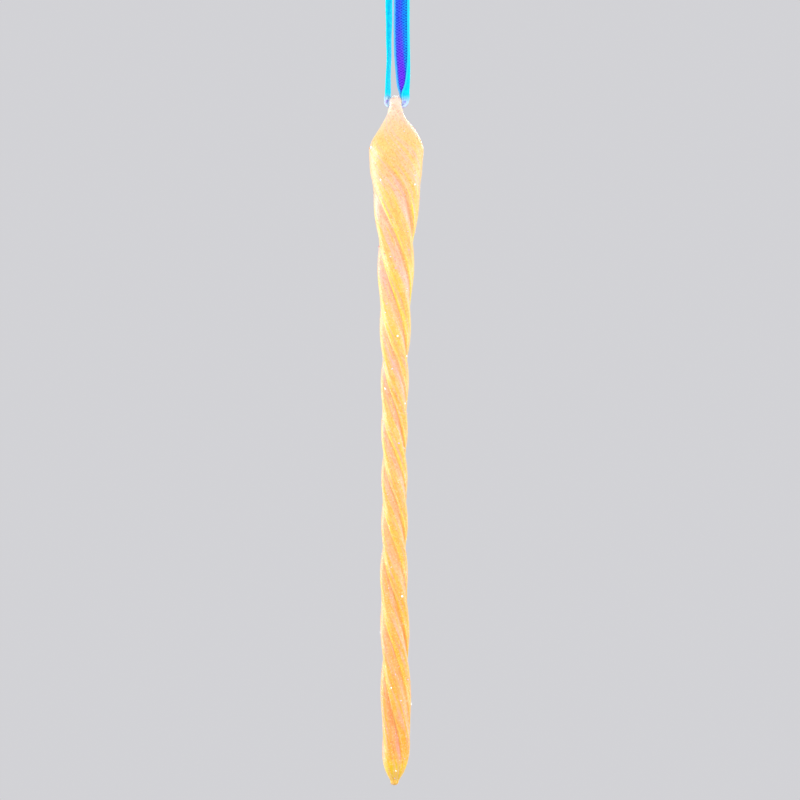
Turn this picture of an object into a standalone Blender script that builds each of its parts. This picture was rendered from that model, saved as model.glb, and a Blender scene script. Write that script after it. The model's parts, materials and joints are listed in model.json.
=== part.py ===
"""A twisted glass icicle that hangs from a loop of narrow ribbon.

Metres, +Z up, +X to the right. The origin is where a hook holds the ribbon loop, just under its knot, and
the icicle hangs below it. The hole in the icicle's eye runs along X.
"""

import math

import bmesh
import bpy
import numpy as np
from mathutils import Vector

MM = 0.001

# Clearance between pieces that touch on the real ornament.
GAP = 0.3 * MM

# The glass, from the top of its eye to its tip. Depths are measured down from the top of the eye.
# The eye is a small gather of glass set on top of the drawn body, and pierced while it is soft.
ICICLE_LENGTH = 229.0 * MM
EYE_WIDTH = 4.6 * MM
EYE_RADIUS = 3.0 * MM
EYE_HOLE_RADIUS = 1.5 * MM
EYE_LENGTH = 6.3 * MM  # down to where the eye stands on the body
NECK_DEPTH = 5.0 * MM
NECK_RADIUS = 2.5 * MM
BULB_DEPTH = 19.4 * MM
BULB_RADIUS = 9.1 * MM
STEM_RADIUS = 4.35 * MM
FOOT_RADIUS = 5.0 * MM
TIP_LENGTH = 24.0 * MM
STEM_PLACE = 0.58  # the thinnest place, from the bulb at 0 to the foot at 1
NECK_SWELL = 0.78  # below 1 the neck opens into the bulb early
STEM_TAPER = 2.35  # how fast the bulb runs out into the stem
TIP_BLUNTNESS = 4.5

# The four lobes that the mould gives the glass, and the left-handed twist they are drawn out with.
LOBES = 4
LOBE_OFFSET = 0.48  # a lobe's centre from the axis, as a share of the radius over its crest
LOBE_SPREAD = math.radians(6.8)  # grooves are alternately wide and narrow by this much to each side
LOBE_LEAN = 0.8  # below 1 a lobe's crest stands nearer to the groove on its left
GROOVE_START = 12.0 * MM
GROOVE_FULL = 34.0 * MM
GROOVE_FADE = 9.0 * MM  # above the tip
GROOVE_END = 5.0 * MM  # above the tip
SIDE_GROOVE_DEPTH = 47.7 * MM  # where two wide grooves face left and right
TWIST_RATES = ((0.0, 5.6), (0.1, 4.1), (0.5, 6.0), (1.0, 3.1))  # place below the bulb, degrees per mm

# How finely the glass is cut into flat faces.
POINTS_PER_LOBE = 6
EYE_RINGS = 13
BULB_RINGS = 12
STEM_RINGS = 84
TIP_RINGS = 13

# The ribbon: a quarter-inch band, gathered where it goes through the eye and into the knot.
RIBBON_WIDTH = 6.35 * MM
RIBBON_THICKNESS = 0.36 * MM
LOOP_DROP = 75.0 * MM  # from the hook to the middle of the eye's hole
TWIST_DROP = 20.0 * MM  # from the hook to the place where the loop twists
GATHER_WIDTH = 0.8  # the gathered band's width and thickness in the hole, as shares of the room there
GATHER_THICKNESS = 0.66
GATHER_RISE = 3.6 * MM  # how far above the hole's middle the band is still gathered
KNOT_SIZE = (6.8 * MM, 6.2 * MM, 5.8 * MM)
KNOT_BASE = 2.7 * MM
TAIL_LENGTH = 14.0 * MM
TAIL_SPREAD = 6.2 * MM
TAIL_SLANT = 0.45

EYE_HEIGHT = -LOOP_DROP
GLASS_TOP = EYE_HEIGHT + EYE_RADIUS
FOOT_DEPTH = ICICLE_LENGTH - TIP_LENGTH
STEM_DEPTH = BULB_DEPTH + STEM_PLACE * (FOOT_DEPTH - BULB_DEPTH)
GATHER_ROOM = EYE_HOLE_RADIUS - GAP
HALF_BAND = RIBBON_WIDTH / 2
HALF_THICK = RIBBON_THICKNESS / 2


def clear_scene():
    for obj in list(bpy.data.objects):
        bpy.data.objects.remove(obj, do_unlink=True)


def make_collection(name, hidden=False):
    collection = bpy.data.collections.new(name)
    collection.hide_render = hidden
    bpy.context.scene.collection.children.link(collection)
    return collection


def make_material(name, colour, roughness, alpha=1.0):
    material = bpy.data.materials.new(name)
    material.use_nodes = True
    shader = material.node_tree.nodes["Principled BSDF"]
    shader.inputs["Base Color"].default_value = (*colour, 1.0)
    shader.inputs["Roughness"].default_value = roughness
    shader.inputs["Metallic"].default_value = 0.0
    shader.inputs["Alpha"].default_value = alpha
    return material


def make_empty(name, height, collection, parent=None):
    """An empty on the vertical axis, at a height above the origin."""
    empty = bpy.data.objects.new(name, None)
    collection.objects.link(empty)
    empty.location = (0, 0, height)
    attach(empty, parent)
    return empty


def attach(obj, parent):
    """Parents obj and leaves it where it is."""
    if parent is not None:
        bpy.context.view_layer.update()
        obj.parent = parent
        obj.matrix_parent_inverse = parent.matrix_world.inverted()


def add_mesh(name, bm, collection, material, origin=(0, 0, 0)):
    """An object from a bmesh in the ornament's frame, with its origin at the given point."""
    bmesh.ops.recalc_face_normals(bm, faces=bm.faces)
    bmesh.ops.translate(bm, verts=bm.verts, vec=-Vector(origin))
    mesh = bpy.data.meshes.new(name)
    bm.to_mesh(mesh)
    bm.free()
    mesh.materials.append(material)
    mesh.shade_smooth()
    mesh.set_sharp_from_angle(angle=math.radians(50))
    obj = bpy.data.objects.new(name, mesh)
    obj.location = origin
    collection.objects.link(obj)
    return obj


def loft(rings):
    """A closed bmesh through rings of points that all have the same count, with flat ends."""
    bm = bmesh.new()
    rows = [[bm.verts.new(point) for point in ring] for ring in rings]
    count = len(rows[0])
    for upper, lower in zip(rows, rows[1:]):
        for i in range(count):
            j = (i + 1) % count
            bm.faces.new((upper[i], upper[j], lower[j], lower[i]))
    bm.faces.new(rows[0])
    bm.faces.new(rows[-1])
    return bm


def smooth(t):
    t = min(max(t, 0.0), 1.0)
    return t * t * (3 - 2 * t)


def crest_radius(depth):
    """The glass's radius over the crests of its lobes, below the neck."""
    if depth < BULB_DEPTH:
        t = max(depth - NECK_DEPTH, 0.0) / (BULB_DEPTH - NECK_DEPTH)
        return NECK_RADIUS + (BULB_RADIUS - NECK_RADIUS) * smooth(t**NECK_SWELL)
    if depth < STEM_DEPTH:
        t = (depth - BULB_DEPTH) / (STEM_DEPTH - BULB_DEPTH)
        return STEM_RADIUS + (BULB_RADIUS - STEM_RADIUS) * (1 - t) ** STEM_TAPER
    if depth < FOOT_DEPTH:
        t = (depth - STEM_DEPTH) / (FOOT_DEPTH - STEM_DEPTH)
        return STEM_RADIUS + (FOOT_RADIUS - STEM_RADIUS) * smooth(t)
    t = min((depth - FOOT_DEPTH) / TIP_LENGTH, 1.0)
    return FOOT_RADIUS * (1 - t**TIP_BLUNTNESS)


def half_widths(depth):
    """The section's half widths along X and Y: a flat round eye on top, and round from the neck down."""
    if depth >= NECK_DEPTH:
        return crest_radius(depth), crest_radius(depth)
    across = EYE_WIDTH / 2
    dome = math.sqrt(max(1 - max(1 - depth / across, 0.0) ** 2, 0.0))
    ring = math.sqrt(max(1 - max(1 - depth / EYE_RADIUS, 0.0) ** 2, 0.0))
    to_neck = smooth((depth - EYE_RADIUS) / (NECK_DEPTH - EYE_RADIUS))
    along_x = across * dome * (1 - to_neck) + NECK_RADIUS * to_neck
    along_y = EYE_RADIUS * ring * (1 - to_neck) + NECK_RADIUS * to_neck
    return along_x, along_y


def groove_share(depth):
    """How fully the grooves are formed at a depth, from 0 to 1."""
    opening = smooth((depth - GROOVE_START) / (GROOVE_FULL - GROOVE_START))
    fade_from = ICICLE_LENGTH - GROOVE_END - GROOVE_FADE
    closing = smooth((depth - fade_from) / GROOVE_FADE)
    return opening * (1 - closing)


def twist_table():
    """Depths, and the angle that the grooves have turned through at each."""
    depths = np.linspace(GROOVE_START, ICICLE_LENGTH, 2000)
    places = (depths - BULB_DEPTH) / (ICICLE_LENGTH - BULB_DEPTH)
    rates = np.empty_like(depths)
    rates[:] = TWIST_RATES[0][1]
    for (place, rate), (next_place, next_rate) in zip(TWIST_RATES, TWIST_RATES[1:]):
        t = np.clip((places - place) / (next_place - place), 0, 1)
        rates += (next_rate - rate) * t * t * (3 - 2 * t)
    steps = np.radians((rates[1:] + rates[:-1]) / 2) * np.diff(depths) / MM
    angles = np.concatenate([[0.0], np.cumsum(steps)])
    return depths, angles - np.interp(SIDE_GROOVE_DEPTH, depths, angles)


def section_points():
    """For each point round the section: its angle, and its lobed radius as a share of the crest's."""
    wide, narrow = math.pi / LOBES + LOBE_SPREAD, math.pi / LOBES - LOBE_SPREAD
    lobe_radius = 1 - LOBE_OFFSET
    points = []
    for lobe in range(LOBES):
        groove = 2 * math.pi * lobe / LOBES
        before, after = (wide, narrow) if lobe % 2 == 0 else (narrow, wide)
        for step in range(POINTS_PER_LOBE):
            t = step / POINTS_PER_LOBE
            off_crest = (t**LOBE_LEAN) * (before + after) - before
            reach = lobe_radius**2 - (LOBE_OFFSET * math.sin(off_crest)) ** 2
            radius = LOBE_OFFSET * math.cos(off_crest) + math.sqrt(reach)
            points.append((groove + t * 2 * math.pi / LOBES, radius))
    return points


def glass_ring(depth, section, depths, angles):
    """One ring of points round the glass."""
    along_x, along_y = half_widths(depth)
    share = groove_share(depth)
    turned = float(np.interp(depth, depths, angles))
    ring = []
    for angle, lobed in section:
        azimuth = angle + turned
        x, y = math.cos(azimuth), math.sin(azimuth)
        round_radius = 1 / math.hypot(x / along_x, y / along_y)
        radius = round_radius * (1 + share * (lobed - 1))
        ring.append((radius * x, radius * y, GLASS_TOP - depth))
    return ring


def eye_depths():
    """The depths of the eye's rings, close together over its dome."""
    first, last = 0.04 * MM, EYE_LENGTH - GAP / 2
    return [first + (last - first) * (i / EYE_RINGS) ** 1.5 for i in range(EYE_RINGS + 1)]


def body_depths():
    """The depths of the body's rings, close together at the tip, where it curves most."""
    bulb = np.linspace(EYE_LENGTH + GAP / 2, BULB_DEPTH, BULB_RINGS, endpoint=False)
    tip_start = ICICLE_LENGTH - GROOVE_END - GROOVE_FADE
    stem = np.linspace(BULB_DEPTH, tip_start, STEM_RINGS, endpoint=False)
    last = ICICLE_LENGTH - 0.04 * MM
    tip = [last - (last - tip_start) * (i / TIP_RINGS) ** 1.4 for i in range(TIP_RINGS, -1, -1)]
    return [*bulb, *stem, *tip]


def make_glass(name, ring_depths, collection, material):
    section = section_points()
    depths, angles = twist_table()
    bm = loft([glass_ring(depth, section, depths, angles) for depth in ring_depths])
    return add_mesh(name, bm, collection, material, (0, 0, EYE_HEIGHT))


def make_eye(collection, cutters, material):
    """The eye on top of the glass: a flat round knob with the ribbon's hole cut through it along X."""
    eye = make_glass("glass_eye", eye_depths(), collection, material)
    hole = bmesh.new()
    bmesh.ops.create_cone(
        hole,
        cap_ends=True,
        segments=24,
        radius1=EYE_HOLE_RADIUS,
        radius2=EYE_HOLE_RADIUS,
        depth=3 * EYE_WIDTH,
    )
    cutter = add_mesh("eye_hole_cutter", hole, cutters, material)
    cutter.rotation_euler = (0, math.pi / 2, 0)
    cutter.location = (0, 0, EYE_HEIGHT)
    cutter.hide_render = True
    cutter.display_type = "WIRE"
    cut = eye.modifiers.new("eye_hole", "BOOLEAN")
    cut.operation = "DIFFERENCE"
    cut.solver = "EXACT"
    cut.object = cutter
    return eye


def band_ring(centre, along, width_way, half_width, half_thick, slant):
    """The eight points of a flat band's section, square to the way it runs, or slanted at a cut end."""
    thick_way = along.cross(width_way).normalized()
    edge, face = 0.4 * half_thick, 0.9 * half_width
    outline = [(half_width, edge), (face, half_thick), (-face, half_thick), (-half_width, edge)]
    outline += [(-across, -out) for across, out in outline]
    return [centre + width_way * across + thick_way * out + along * slant * across for across, out in outline]


def make_band(name, stations, collection, material, slant=0.0):
    """A stretch of ribbon. A station is (centre, turn of the width from +Y, half width, half thickness)."""
    centres = [Vector(station[0]) for station in stations]
    rings = []
    for i, (_, turn, half_width, half_thick) in enumerate(stations):
        along = centres[min(i + 1, len(centres) - 1)] - centres[max(i - 1, 0)]
        along.normalize()
        width_way = Vector((math.sin(turn), -math.cos(turn), 0))
        width_way = (width_way - along * along.dot(width_way)).normalized()
        cut = slant if i == len(stations) - 1 else 0.0
        rings.append(band_ring(centres[i], along, width_way, half_width, half_thick, cut))
    return add_mesh(name, loft(rings), collection, material)


# The two strands, as (height, place along X, turn of the band in degrees, share of the full width).
# The lower points are measured up from the top of the gathers and the upper ones from the hook.
LEFT_LOW = ((0, -2.95, 8, 0.50), (2.4, -2.8, 12, 0.72), (5.4, -2.6, 15, 0.9), (10.4, -2.45, 15, 1.0))
RIGHT_LOW = ((0, 3.0, 30, 0.52), (2.4, 3.05, 48, 0.75), (5.4, 2.8, 56, 0.92), (10.4, 2.5, 58, 1.0))
LEFT_MIDDLE = ((20.4, -2.3, 17, 1.0), (32.4, -2.2, 22, 1.0))
RIGHT_MIDDLE = ((20.4, 2.25, 57, 1.0), (32.4, 2.1, 54, 1.0))
LEFT_HIGH = ((-12, -1.85, 10, 1.0), (-6, -1.65, 4, 1.0), (-1.5, -1.45, 0, 0.9), (2.2, -1.05, 0, 0.62))
RIGHT_HIGH = ((-12, 1.85, 22, 1.0), (-6, 1.65, 9, 1.0), (-1.5, 1.45, 0, 0.9), (2.2, 1.05, 0, 0.62))
LEFT_TWIST = (-2.0, 16, 1.0)
RIGHT_TWIST = (2.0, 38, 1.0)


def strand_stations(points, base):
    return [
        ((x * MM, 0, base + height * MM), math.radians(turn), share * HALF_BAND, HALF_THICK)
        for height, x, turn, share in points
    ]


def twist_station(place, height):
    x, turn, share = place
    return ((x * MM, 0, height), math.radians(turn), share * HALF_BAND, HALF_THICK)


def make_strands(collection, material, loop_pivot):
    """Each side of the loop, in two lengths that meet where the loop twists."""
    sides = (
        ("left", LEFT_LOW + LEFT_MIDDLE, LEFT_HIGH, LEFT_TWIST),
        ("right", RIGHT_LOW + RIGHT_MIDDLE, RIGHT_HIGH, RIGHT_TWIST),
    )
    for side, low, high, place in sides:
        lower = strand_stations(low, EYE_HEIGHT + GATHER_RISE)
        lower.append(twist_station(place, -TWIST_DROP - GAP / 2))
        strand = make_band(f"ribbon_strand_{side}", lower, collection, material)
        attach(strand, loop_pivot)
        upper = [twist_station(place, -TWIST_DROP + GAP / 2)] + strand_stations(high, 0)
        make_band(f"ribbon_top_{side}", upper, collection, material)


def make_bight(collection, material, loop_pivot):
    """The gathered band in the eye: along the hole, then up beside it to each strand."""
    thin = 0.35 * MM
    outside = EYE_WIDTH / 2 + GAP + thin
    in_hole = (GATHER_WIDTH * GATHER_ROOM, GATHER_THICKNESS * GATHER_ROOM)
    rise = (
        (EYE_WIDTH / 2, 0.0, *in_hole),
        (outside - 0.15 * MM, 0.4 * MM, 1.1 * MM, 0.5 * MM),
        (outside + 0.1 * MM, 1.2 * MM, 1.3 * MM, thin),
        (outside + 0.1 * MM, 2.3 * MM, 1.4 * MM, thin),
        (outside, GATHER_RISE - GAP, 1.5 * MM, thin),
    )
    stations = [
        ((-x, 0, EYE_HEIGHT + up), 0.0, half_width, half_thick)
        for x, up, half_width, half_thick in reversed(rise)
    ]
    stations.append(((0, 0, EYE_HEIGHT), 0.0, *in_hole))
    stations += [
        ((x, 0, EYE_HEIGHT + up), 0.0, half_width, half_thick)
        for x, up, half_width, half_thick in rise
    ]
    bight = make_band("ribbon_bight", stations, collection, material)
    attach(bight, loop_pivot)


def make_knot(collection, material):
    """The overhand knot that ties both ends: a rounded lump, wider than it is tall."""
    bm = bmesh.new()
    bmesh.ops.create_uvsphere(bm, u_segments=20, v_segments=12, radius=0.5)
    bmesh.ops.scale(bm, verts=bm.verts, vec=KNOT_SIZE)
    middle = (0, 0, KNOT_BASE + KNOT_SIZE[2] / 2)
    bmesh.ops.translate(bm, verts=bm.verts, vec=middle)
    add_mesh("ribbon_knot", bm, collection, material, middle)


def make_tails(collection, material):
    """The two cut ends, which stand up out of the knot and lean apart."""
    root_height = KNOT_BASE + KNOT_SIZE[2] + GAP
    for side, way in (("left", -1), ("right", 1)):
        stations = []
        for t in (0.0, 0.3, 0.65, 1.0):
            x = way * (1.0 * MM + (TAIL_SPREAD - 1.0 * MM) * t**1.4)
            z = root_height + TAIL_LENGTH * t
            share = 0.5 + 0.5 * smooth(t / 0.65)
            stations.append(((x, 0, z), 0.0, share * HALF_BAND, HALF_THICK))
        make_band(f"ribbon_tail_{side}", stations, collection, material, slant=way * TAIL_SLANT)


def main():
    clear_scene()
    parts = make_collection("icicle_ornament")
    cutters = make_collection("cutters", hidden=True)
    glass = make_material("glittered_glass", (1.0, 0.62, 0.17), 0.45)
    ribbon = make_material("organza_ribbon", (0.01, 0.45, 0.95), 0.5, alpha=0.8)
    loop_pivot = make_empty("loop_pivot", -TWIST_DROP, parts)
    make_strands(parts, ribbon, loop_pivot)
    make_bight(parts, ribbon, loop_pivot)
    make_knot(parts, ribbon)
    make_tails(parts, ribbon)
    eye_pivot = make_empty("eye_pivot", EYE_HEIGHT, parts, loop_pivot)
    attach(make_eye(parts, cutters, glass), eye_pivot)
    attach(make_glass("glass_icicle", body_depths(), parts, glass), eye_pivot)


main()
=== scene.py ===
"""An icicle hanging ornament: drawn, twisted and glittered glass on a loop of organza ribbon.

Metres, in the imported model's own frame: +Z up, and the hook holds the ribbon at the origin.
"""

import json
import math
import random

import bmesh
import bpy
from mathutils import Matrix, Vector


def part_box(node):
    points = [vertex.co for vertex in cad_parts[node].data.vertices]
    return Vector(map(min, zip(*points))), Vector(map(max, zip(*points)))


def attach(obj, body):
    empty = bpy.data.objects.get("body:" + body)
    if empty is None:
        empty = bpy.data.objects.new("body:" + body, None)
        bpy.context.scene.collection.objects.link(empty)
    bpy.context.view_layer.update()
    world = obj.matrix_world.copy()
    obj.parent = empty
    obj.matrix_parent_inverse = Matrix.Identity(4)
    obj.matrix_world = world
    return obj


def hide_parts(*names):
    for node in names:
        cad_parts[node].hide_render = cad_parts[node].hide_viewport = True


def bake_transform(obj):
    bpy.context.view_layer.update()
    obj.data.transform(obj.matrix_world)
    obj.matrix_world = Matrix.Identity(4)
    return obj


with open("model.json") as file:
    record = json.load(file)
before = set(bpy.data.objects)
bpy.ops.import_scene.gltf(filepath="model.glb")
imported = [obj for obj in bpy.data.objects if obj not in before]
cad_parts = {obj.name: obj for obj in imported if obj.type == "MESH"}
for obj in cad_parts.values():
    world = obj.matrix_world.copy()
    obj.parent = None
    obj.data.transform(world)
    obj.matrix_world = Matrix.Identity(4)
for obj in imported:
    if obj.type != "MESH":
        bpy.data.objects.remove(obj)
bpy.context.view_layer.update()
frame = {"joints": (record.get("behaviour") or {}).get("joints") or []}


# ---- Camera ----
# A long lens, square to the front of the ornament and level with the middle of what shows of it.
# The top of the ribbon loop is above the view.

CAMERA_DISTANCE = 1.5
VIEW_HEIGHT = 0.2655
VIEW_X, VIEW_Z = 0.0015, -0.1731  # the middle of the view
SENSOR_WIDTH = 36.0

bpy.ops.object.camera_add(location=(VIEW_X, -CAMERA_DISTANCE, VIEW_Z), rotation=(math.pi / 2, 0, 0))
camera = bpy.context.object
camera.name = "camera"
camera.data.sensor_width = SENSOR_WIDTH
camera.data.lens = SENSOR_WIDTH * CAMERA_DISTANCE / VIEW_HEIGHT
bpy.context.scene.camera = camera


# ---- Ribbon loop ----
# Quarter-inch organza: a sheer plain weave of fine nylon with a dense woven selvedge along each side.
# One uncut length goes from the knot down through the eye and back. It is crumpled where it goes
# through the hole, lies folded in half on the left, and opens out of its fold on the right.

MM = 0.001
RIBBON_WIDTH = 6.35 * MM
RIBBON_THICKNESS = 0.2 * MM
SHEER_THICKNESS = 0.5  # of the middle, as a share of the selvedges'
SELVEDGE = 0.55 * MM
ROW_LENGTH = 0.36 * MM
COLUMNS = 38
FOLD_LENGTH = 0.75 * MM  # of ribbon that a fold takes up
FOLD_TURN = math.radians(172)
FOLD_BLEND = 0.3 * MM  # from the colour of one layer to that of two
CREASE_REACH = 1.3 * MM
PLEATS = 3
GATHER_START, GATHER_FULL = 0.2, 1.0  # pleats this steep start to get, and fully get, the pale painted highlight, in radians
RIPPLE_HEIGHT, RIPPLE_LENGTH = 0.05 * MM, 1.9 * MM  # the length is for one radian
RIPPLE_LAG = 0.35  # radians from one column to the next
CUT_ROWS = 10  # that a slanted cut is spread over

eye_centre = Vector(next(j["pos_m"] for j in frame["joints"] if j["name"] == "eye_swing"))


# Each row is a place on the ribbon's middle line in mm, the way its right edge points, how much of its
# width is folded over to the front in mm, and how tightly it is pleated in radians.
# The upper rows are measured from the hook and the lower ones from the middle of the eye's hole.
LEFT_FROM_HOOK = (
    (-1.05, 0, 2.2, 0.0, -1.0, 0, 3.1, 1.15),
    (-1.45, 0, -1.5, -0.10, -0.99, 0, 3.1, 0.70),
    (-1.65, 0, -6.0, -0.20, -0.98, 0, 3.1, 0.35),
    (-1.85, 0, -12.0, -0.35, -0.94, 0, 3.1, 0.12),
    (-2.0, 0, -20.0, -0.50, -0.87, 0, 3.1, 0.05),
    (-2.1, 0, -32.0, -0.56, -0.83, 0, 3.1, 0.0),
)
THROUGH_EYE = (
    (-2.12, 0, 34.7, -0.58, -0.81, 0, 3.1, 0.0),
    (-2.17, 0, 25.0, -0.44, -0.90, 0, 3.1, 0.0),
    (-2.2, 0, 15.8, -0.28, -0.96, 0, 3.1, 0.0),
    (-2.38, 0, 9.0, -0.30, -0.95, 0, 3.1, 0.0),
    (-2.55, 0, 4.6, -0.38, -0.92, 0, 3.1, 0.1),
    (-2.72, 0, 2.4, -0.40, -0.90, -0.1, 3.1, 0.6),
    (-2.78, 0, 1.3, -0.60, -0.50, -0.6, 3.1, 1.05),
    (-2.5, 0, 0.25, -0.60, -0.10, -0.8, 3.1, 1.22),
    (-2.05, 0, -0.1, -0.20, 0.0, -1.0, 3.1, 1.28),
    (-1.2, 0, 0.0, 0.0, 0.0, -1.0, 3.1, 1.3),
    (0.0, 0, 0.0, 0.0, 0.0, -1.0, 3.1, 1.3),
    (1.2, 0, 0.0, 0.0, 0.0, -1.0, 3.1, 1.3),
    (2.1, 0, -0.15, 0.20, 0.0, -1.0, 3.1, 1.2),
    (2.7, 0, 0.15, 0.60, 0.0, -0.8, 3.1, 1.0),
    (3.0, 0, 1.0, 0.90, 0.0, -0.4, 3.05, 0.8),
    (3.12, 0, 2.3, 1.0, 0.0, -0.1, 3.0, 0.45),
    (2.95, 0, 3.6, 1.0, 0.0, 0.0, 2.87, 0.15),
    (2.68, 0, 5.8, 1.0, 0.0, 0.0, 2.12, 0.0),
    (2.44, 0, 11.1, 1.0, 0.0, 0.0, 1.36, 0.0),
    (2.22, 0, 15.8, 1.0, 0.0, 0.0, 1.02, 0.0),
    (2.04, 0, 25.0, 1.0, -0.05, 0.0, 0.92, 0.0),
    (2.04, 0, 34.7, 1.0, -0.10, 0.0, 0.92, 0.0),
)
RIGHT_FROM_HOOK = (
    (2.02, 0, -32.0, 0.95, -0.3, 0, 1.0, 0.0),
    (2.0, 0, -20.0, 0.80, -0.6, 0, 1.6, 0.0),
    (1.85, 0, -12.0, 0.50, -0.87, 0, 2.2, 0.12),
    (1.65, 0, -6.0, 0.20, -0.98, 0, 2.8, 0.35),
    (1.45, 0, -1.5, 0.10, -0.99, 0, 3.1, 0.70),
    (1.05, 0, 2.2, 0.0, -1.0, 0, 3.1, 1.15),
)


def metres(rows, base=Vector((0, 0, 0))):
    """Rows with their places and folds turned from mm into metres, the places from a base point."""
    made = []
    for x, y, z, across_x, across_y, across_z, fold, pleat in rows:
        place = base + Vector((x, y, z)) * MM
        made.append((*place, across_x, across_y, across_z, fold * MM, pleat))
    return made


def smooth_rows(rows, step):
    """Rows of numbers on a smooth curve through the given ones, step apart along their first three."""
    gaps = [(Vector(b[:3]) - Vector(a[:3])).length for a, b in zip(rows, rows[1:])]
    slopes = [[(b - a) / gap for a, b in zip(r, s)] for r, s, gap in zip(rows, rows[1:], gaps)]
    tangents = [slopes[0]]
    for i in range(1, len(rows) - 1):
        before, after = gaps[i - 1], gaps[i]
        tangents.append(
            [(p * after + q * before) / (before + after) for p, q in zip(slopes[i - 1], slopes[i])]
        )
    tangents.append(slopes[-1])
    made = []
    for i, gap in enumerate(gaps):
        count = max(1, round(gap / step))
        for k in range(count):
            t = k / count
            a, b = (1 + 2 * t) * (1 - t) ** 2, t * t * (3 - 2 * t)
            c, d = t * (1 - t) ** 2 * gap, t * t * (t - 1) * gap
            made.append(
                [
                    a * p + b * q + c * m + d * n
                    for p, q, m, n in zip(rows[i], rows[i + 1], tangents[i], tangents[i + 1])
                ]
            )
    made.append(list(rows[-1]))
    return made


def smooth_step(t):
    t = min(max(t, 0.0), 1.0)
    return t * t * (3 - 2 * t)


def ribbon_section(fold, pleat):
    """Places across the ribbon, (along its width, out of its face), for its fold and pleats.

    The ribbon doesn't stretch: each column is the same length, and only its direction turns.
    """
    along, out, places = 0.0, 0.0, [(0.0, 0.0)]
    column = RIBBON_WIDTH / COLUMNS
    for i in range(COLUMNS):
        across = (i + 0.5) * column
        turn = FOLD_TURN * smooth_step((across - (RIBBON_WIDTH - fold)) / FOLD_LENGTH + 0.5)
        turn += pleat * math.sin(2 * math.pi * PLEATS * across / RIBBON_WIDTH)
        along += math.cos(turn) * column
        out += math.sin(turn) * column
        places.append((along, out))
    middle_along = (min(p[0] for p in places) + max(p[0] for p in places)) / 2
    middle_out = (min(p[1] for p in places) + max(p[1] for p in places)) / 2
    return [(a - middle_along, o - middle_out) for a, o in places]


def deselect_all():
    for obj in bpy.context.selected_objects:
        obj.select_set(False)


def apply_modifier(obj, kind, **settings):
    """Adds a modifier and applies it."""
    deselect_all()
    bpy.context.view_layer.objects.active = obj
    obj.select_set(True)
    modifier = obj.modifiers.new(kind.lower(), kind)
    for name, value in settings.items():
        setattr(modifier, name, value)
    bpy.ops.object.modifier_apply(modifier=modifier.name)


def weave_ribbon(name, rows, slant=0.0):
    """A length of ribbon along rows, cut at its end on a slant.

    Its UV map is in mm, and its vertices say how far they are folded double, creased and gathered.
    """
    bm = bmesh.new()
    uv = bm.loops.layers.uv.new("weave")
    folded = bm.verts.layers.float.new("folded")
    creased = bm.verts.layers.float.new("creased")
    gathered = bm.verts.layers.float.new("gathered")
    centres = [Vector(row[:3]) for row in rows]
    grid, lengths, run = [], [], 0.0
    for i, row in enumerate(rows):
        run += (centres[i] - centres[max(i - 1, 0)]).length
        lengths.append(run)
        along = (centres[min(i + 1, len(rows) - 1)] - centres[max(i - 1, 0)]).normalized()
        across = Vector(row[3:6])
        across = (across - along * across.dot(along)).normalized()
        out = across.cross(along)
        fold, pleat = row[6], row[7]
        cut = slant * smooth_step(1 - (len(rows) - 1 - i) / CUT_ROWS)
        line = []
        for j, (a, o) in enumerate(ribbon_section(fold, max(pleat, 0.0))):
            ripple = RIPPLE_HEIGHT * math.sin(run / RIPPLE_LENGTH + RIPPLE_LAG * j)
            vert = bm.verts.new(centres[i] + across * a + out * (o + ripple) + along * cut * a)
            place = j / COLUMNS * RIBBON_WIDTH
            vert[folded] = smooth_step((place - (RIBBON_WIDTH - 2 * fold)) / FOLD_BLEND + 0.5)
            vert[creased] = 1 - smooth_step(abs(place - (RIBBON_WIDTH - fold)) / CREASE_REACH)
            vert[gathered] = smooth_step((pleat - GATHER_START) / (GATHER_FULL - GATHER_START))
            line.append(vert)
        grid.append(line)
    for i in range(len(rows) - 1):
        for j in range(COLUMNS):
            face = bm.faces.new((grid[i][j], grid[i][j + 1], grid[i + 1][j + 1], grid[i + 1][j]))
            corners = ((i, j), (i, j + 1), (i + 1, j + 1), (i + 1, j))
            for loop, (row_at, column_at) in zip(face.loops, corners):
                loop[uv].uv = (column_at / COLUMNS * RIBBON_WIDTH / MM, lengths[row_at] / MM)
    mesh = bpy.data.meshes.new(name)
    bm.to_mesh(mesh)
    bm.free()
    obj = bpy.data.objects.new(name, mesh)
    bpy.context.scene.collection.objects.link(obj)
    # The selvedges are woven thicker than the sheer middle.
    dense = obj.vertex_groups.new(name="selvedge")
    for i in range(len(rows)):
        for j in range(COLUMNS + 1):
            from_edge = min(j, COLUMNS - j) / COLUMNS * RIBBON_WIDTH
            share = 1.0 if from_edge < SELVEDGE else SHEER_THICKNESS
            dense.add([i * (COLUMNS + 1) + j], share, "REPLACE")
    apply_modifier(
        obj,
        "SOLIDIFY",
        thickness=RIBBON_THICKNESS,
        offset=0.0,
        vertex_group="selvedge",
        use_even_offset=False,
    )
    mesh.shade_smooth()
    return obj


ribbon_rows = metres(LEFT_FROM_HOOK) + metres(THROUGH_EYE, eye_centre) + metres(RIGHT_FROM_HOOK)
ribbon_rows = smooth_rows(ribbon_rows, ROW_LENGTH)
ribbon = weave_ribbon("ribbon_loop", ribbon_rows)


def srgb(code):
    """A hex colour, as linear values."""
    parts = [int(code[i : i + 2], 16) / 255 for i in (1, 3, 5)]
    return (*[p / 12.92 if p <= 0.04045 else ((p + 0.055) / 1.055) ** 2.4 for p in parts], 1.0)


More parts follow.
